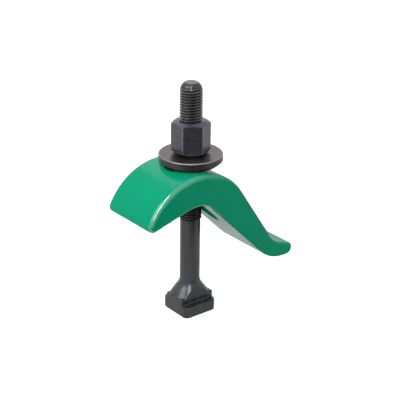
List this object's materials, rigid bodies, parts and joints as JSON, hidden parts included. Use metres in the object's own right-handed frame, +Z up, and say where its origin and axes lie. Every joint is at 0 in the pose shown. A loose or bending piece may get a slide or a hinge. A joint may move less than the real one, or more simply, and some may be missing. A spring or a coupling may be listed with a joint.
{
  "type": "goose-neck clamp with t-slot bolt",
  "caption": "Forged goose-neck clamp arm on a T-slot bolt, held by a thick flat washer and a tall hexagon nut that raise and lower it.",
  "frame": {"origin": "centre of the bolt head's underside", "axes": "+Z up the bolt to its threaded end, +X along the arm towards its toe, +Y across the arm"},
  "size_m": [0.1303, 0.05, 0.172],
  "materials": {
    "black_oxide_bolt": "satin",
    "green_paint": "gloss",
    "black_oxide_washer": "satin",
    "black_oxide_nut": "satin"
  },
  "bodies": {
    "bolt": {"t_slot_bolt": "black_oxide_bolt"},
    "washer": {"washer": "black_oxide_washer"},
    "nut": {"hex_nut": "black_oxide_nut"},
    "arm": {"clamp_arm": "green_paint"}
  },
  "joints": [
    {"name": "washer_slide", "type": "slide", "parent": "bolt", "child": "washer", "axis": [0, 0, 1], "range_m": [-0.03, 0.02]},
    {"name": "nut_turn", "type": "hinge", "parent": "washer", "child": "nut", "pos_m": [0, 0, 0.1213], "axis": [0, 0, 1], "range_deg": [-5401, 3601]},
    {"name": "arm_swivel", "type": "hinge", "parent": "washer", "child": "arm", "pos_m": [0, 0, 0.114], "axis": [0, 0, 1], "continuous": true}
  ],
  "couplings": [
    {"joint": "nut_turn", "follows": "washer_slide", "rad_per_m": 3141.6}
  ]
}
